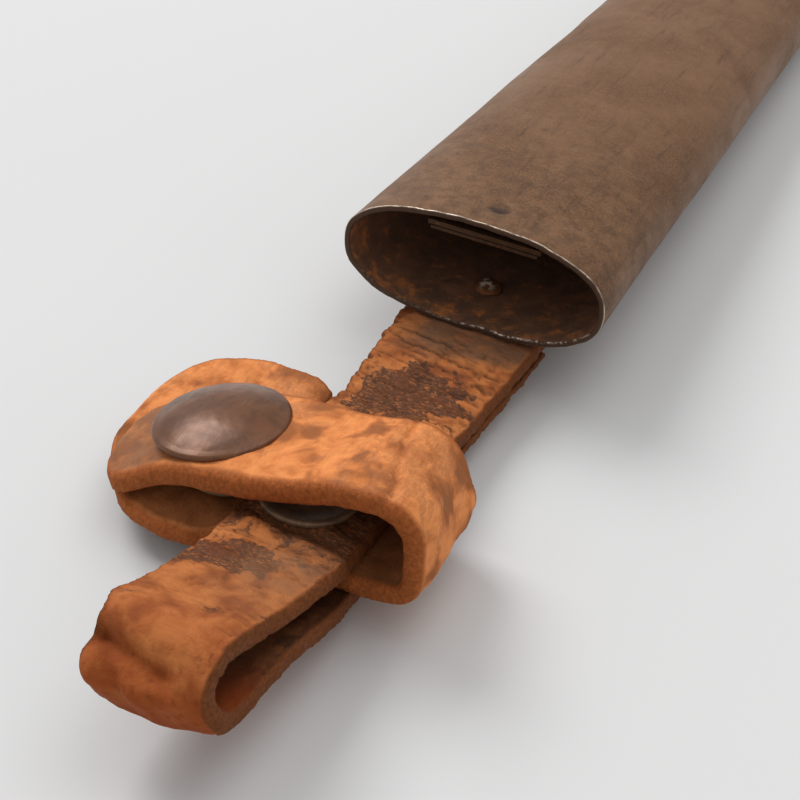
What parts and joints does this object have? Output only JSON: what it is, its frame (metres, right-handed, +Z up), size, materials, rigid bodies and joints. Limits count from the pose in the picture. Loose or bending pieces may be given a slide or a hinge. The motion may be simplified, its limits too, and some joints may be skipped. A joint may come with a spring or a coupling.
{
  "type": "garden knife sheath",
  "caption": "Browned steel sheath for a flat digging knife, with a leather hanger, belt loop and a snap-closed strap that holds the knife's handle.",
  "frame": {"origin": "centre of the sheath's mouth, in the plane of the rim", "axes": "+Y along the sheath towards its tip, +Z up through the wide top face, +X to the right seen from the mouth"},
  "size_m": [0.052, 0.2774, 0.0277],
  "materials": {
    "sheath_steel": "browned steel with fine scratches, rust specks and worn bright rim",
    "throat_steel": "dull rusted spring steel",
    "rivet_steel": "worn dark rivets with rust round the heads",
    "hanger_leather": "dry orange-tan leather, cracked and worn dark in patches",
    "strap_leather": "soft rounded tan leather with dark stains",
    "snap_metal": "dark brown semi-gloss cap, rubbed at the crown"
  },
  "bodies": {
    "sheath": {"sheath_shell": "sheath_steel", "tip_plug": "sheath_steel", "throat_backing_plate": "throat_steel", "throat_rivet": "rivet_steel", "hanger_strap_root": "hanger_leather", "hanger_rivet_front": "rivet_steel", "hanger_washer_front": "rivet_steel", "hanger_rivet_rear": "rivet_steel", "hanger_washer_rear": "rivet_steel"},
    "hanger": {"hanger_strap": "hanger_leather", "handle_strap_base": "strap_leather", "snap_stud": "snap_metal", "snap_stud_eyelet": "snap_metal", "strap_rivet": "snap_metal", "strap_rivet_washer": "snap_metal"},
    "flap": {"handle_strap_flap": "strap_leather", "snap_cap": "snap_metal", "snap_socket": "snap_metal", "snap_socket_spring": "rivet_steel"},
    "spring": {"throat_spring": "throat_steel"}
  },
  "joints": [
    {"name": "hanger_flex", "type": "hinge", "parent": "sheath", "child": "hanger", "pos_m": [0, 0, -0.01055], "axis": [1, 0, 0], "range_deg": [-25, 45]},
    {"name": "flap_open", "type": "hinge", "parent": "hanger", "child": "flap", "pos_m": [0.0187, -0.042, -0.00335], "axis": [0, 1, 0], "range_deg": [0, 110]},
    {"name": "throat_spring_press", "type": "hinge", "parent": "sheath", "child": "spring", "pos_m": [0.0012, 0.0057, 0.00585], "axis": [1, 0, 0], "range_deg": [0, 4], "stiffness_Nm_per_rad": 1}
  ]
}
